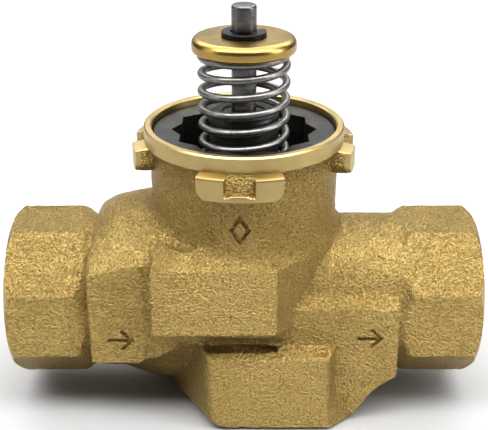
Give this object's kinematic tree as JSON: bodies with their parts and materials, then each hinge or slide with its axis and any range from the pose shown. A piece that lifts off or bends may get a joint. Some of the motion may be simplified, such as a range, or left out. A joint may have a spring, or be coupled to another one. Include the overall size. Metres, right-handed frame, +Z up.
{
  "type": "zone valve",
  "caption": "Cast brass straight two-port zone valve with octagonal threaded ends, a bayonet collar and an exposed spring-return stem.",
  "frame": {"origin": "on the stem's axis, level with the body's bottom face", "axes": "+X along the pipe from port A to port B, -Y to the front, +Z up along the stem"},
  "size_m": [0.096, 0.0448, 0.0832],
  "materials": {
    "cast_brass": "shot-blasted as-cast brass, fine grain, with turned faces at the collar, lugs and pipe ends",
    "turned_brass": "turned and lightly polished brass",
    "nut_steel": "dull grey zinc-plated steel",
    "stem_steel": "ground stainless steel",
    "spring_steel": "bright drawn spring wire",
    "black_steel": "black oxide spring steel",
    "black_plastic": "moulded glass-filled plastic, satin",
    "seal_rubber": "moulded EPDM rubber",
    "bush_bronze": "sintered bronze"
  },
  "bodies": {
    "housing": {"valve_body": "cast_brass", "retaining_nut": "nut_steel", "slip_washer": "turned_brass", "bonnet": "black_plastic", "bonnet_o_ring": "seal_rubber", "stem_bush": "bush_bronze", "stem_o_ring_lower": "seal_rubber", "stem_o_ring_upper": "seal_rubber", "gland_ring": "black_plastic", "spring_seat_washer": "nut_steel", "return_spring": "spring_steel", "cage": "turned_brass", "cage_o_ring": "seal_rubber", "seat_ring": "stem_steel"},
    "stem_assembly": {"stem": "stem_steel", "spring_cap": "turned_brass", "stem_clip": "black_steel", "disc_washer": "stem_steel", "seal_disc": "seal_rubber", "disc_holder": "turned_brass", "disc_nut": "stem_steel"}
  },
  "joints": [
    {"name": "stem_slide", "type": "slide", "parent": "housing", "child": "stem_assembly", "axis": [0, 0, -1], "range_m": [0, 0.0055], "stiffness_N_per_m": 6000, "springref_m": -0.005, "deforming": ["return_spring"]}
  ]
}
